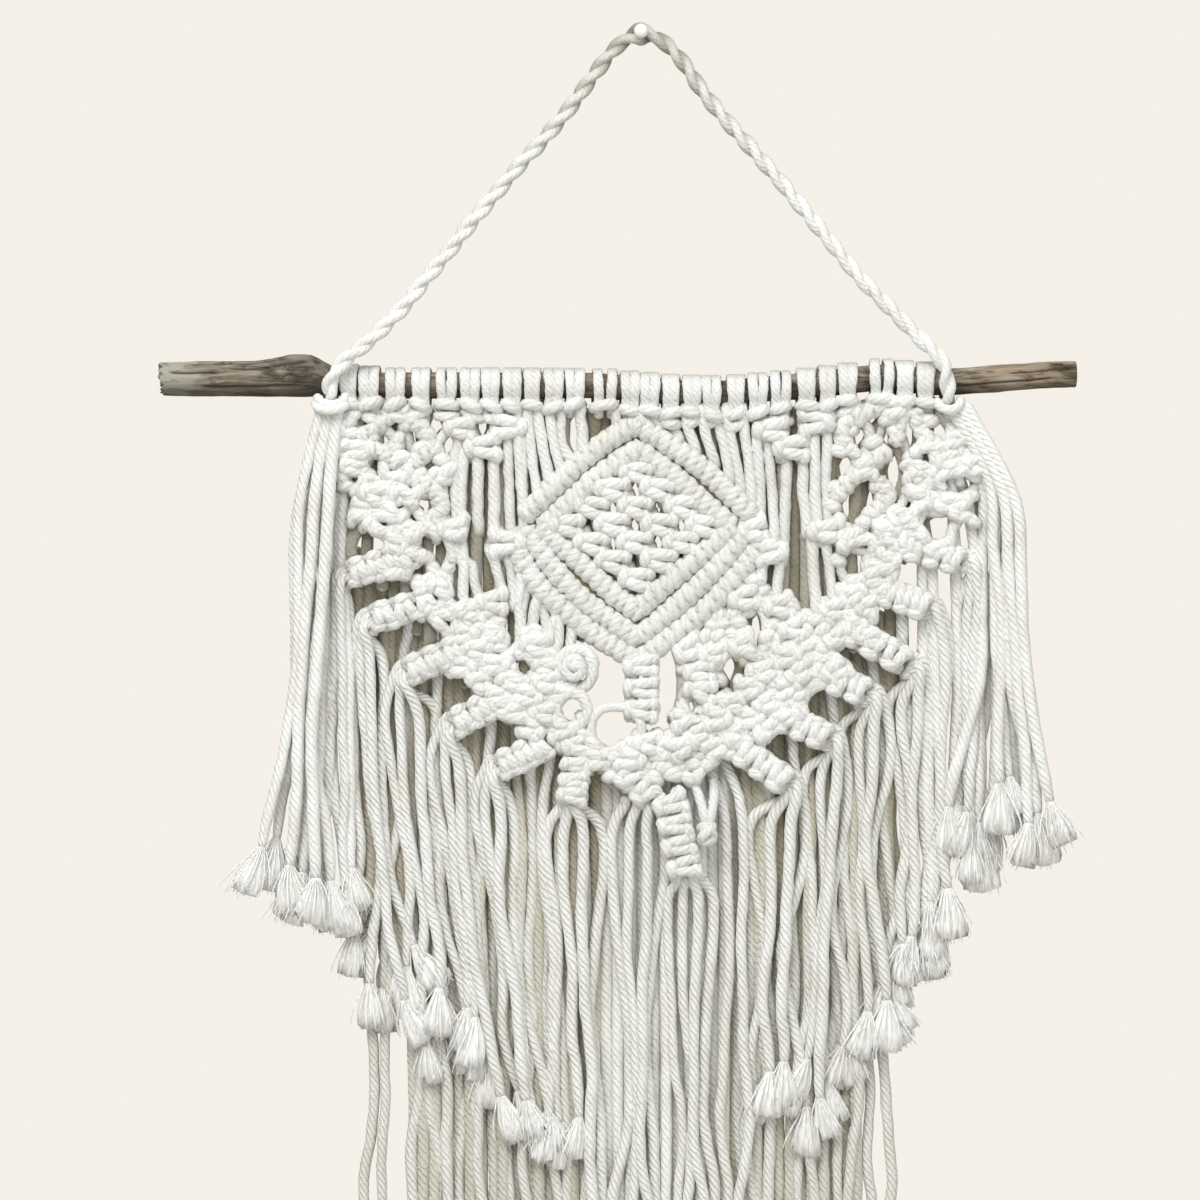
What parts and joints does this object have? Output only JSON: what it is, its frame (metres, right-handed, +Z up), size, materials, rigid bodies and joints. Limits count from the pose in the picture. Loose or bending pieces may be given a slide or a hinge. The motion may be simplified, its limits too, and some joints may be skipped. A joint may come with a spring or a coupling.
{
  "type": "macrame wall hanging on a driftwood branch and wall peg",
  "caption": "Knotted cotton panel with a raised diamond, a pointed band of knots and long fringes, on a branch hung by a twisted cord from a round-headed wall peg.",
  "frame": {"origin": "centre of the peg's flat end, on the wall", "axes": "+Z up, +Y into the wall, +X to the right of someone facing the hanging"},
  "size_m": [0.3311, 0.0249, 0.4647],
  "materials": {
    "cotton": "matt natural cotton cord, three plies",
    "driftwood": "weathered bare wood",
    "enamel": "smooth white"
  },
  "bodies": {
    "root": {"driftwood_branch": "driftwood", "wall_peg": "enamel", "hanging_cord": "cotton", "knotted_panel": "cotton", "front_fringe": "cotton", "back_fringe": "cotton", "left_fringe": "cotton", "right_fringe": "cotton"}
  },
  "joints": []
}
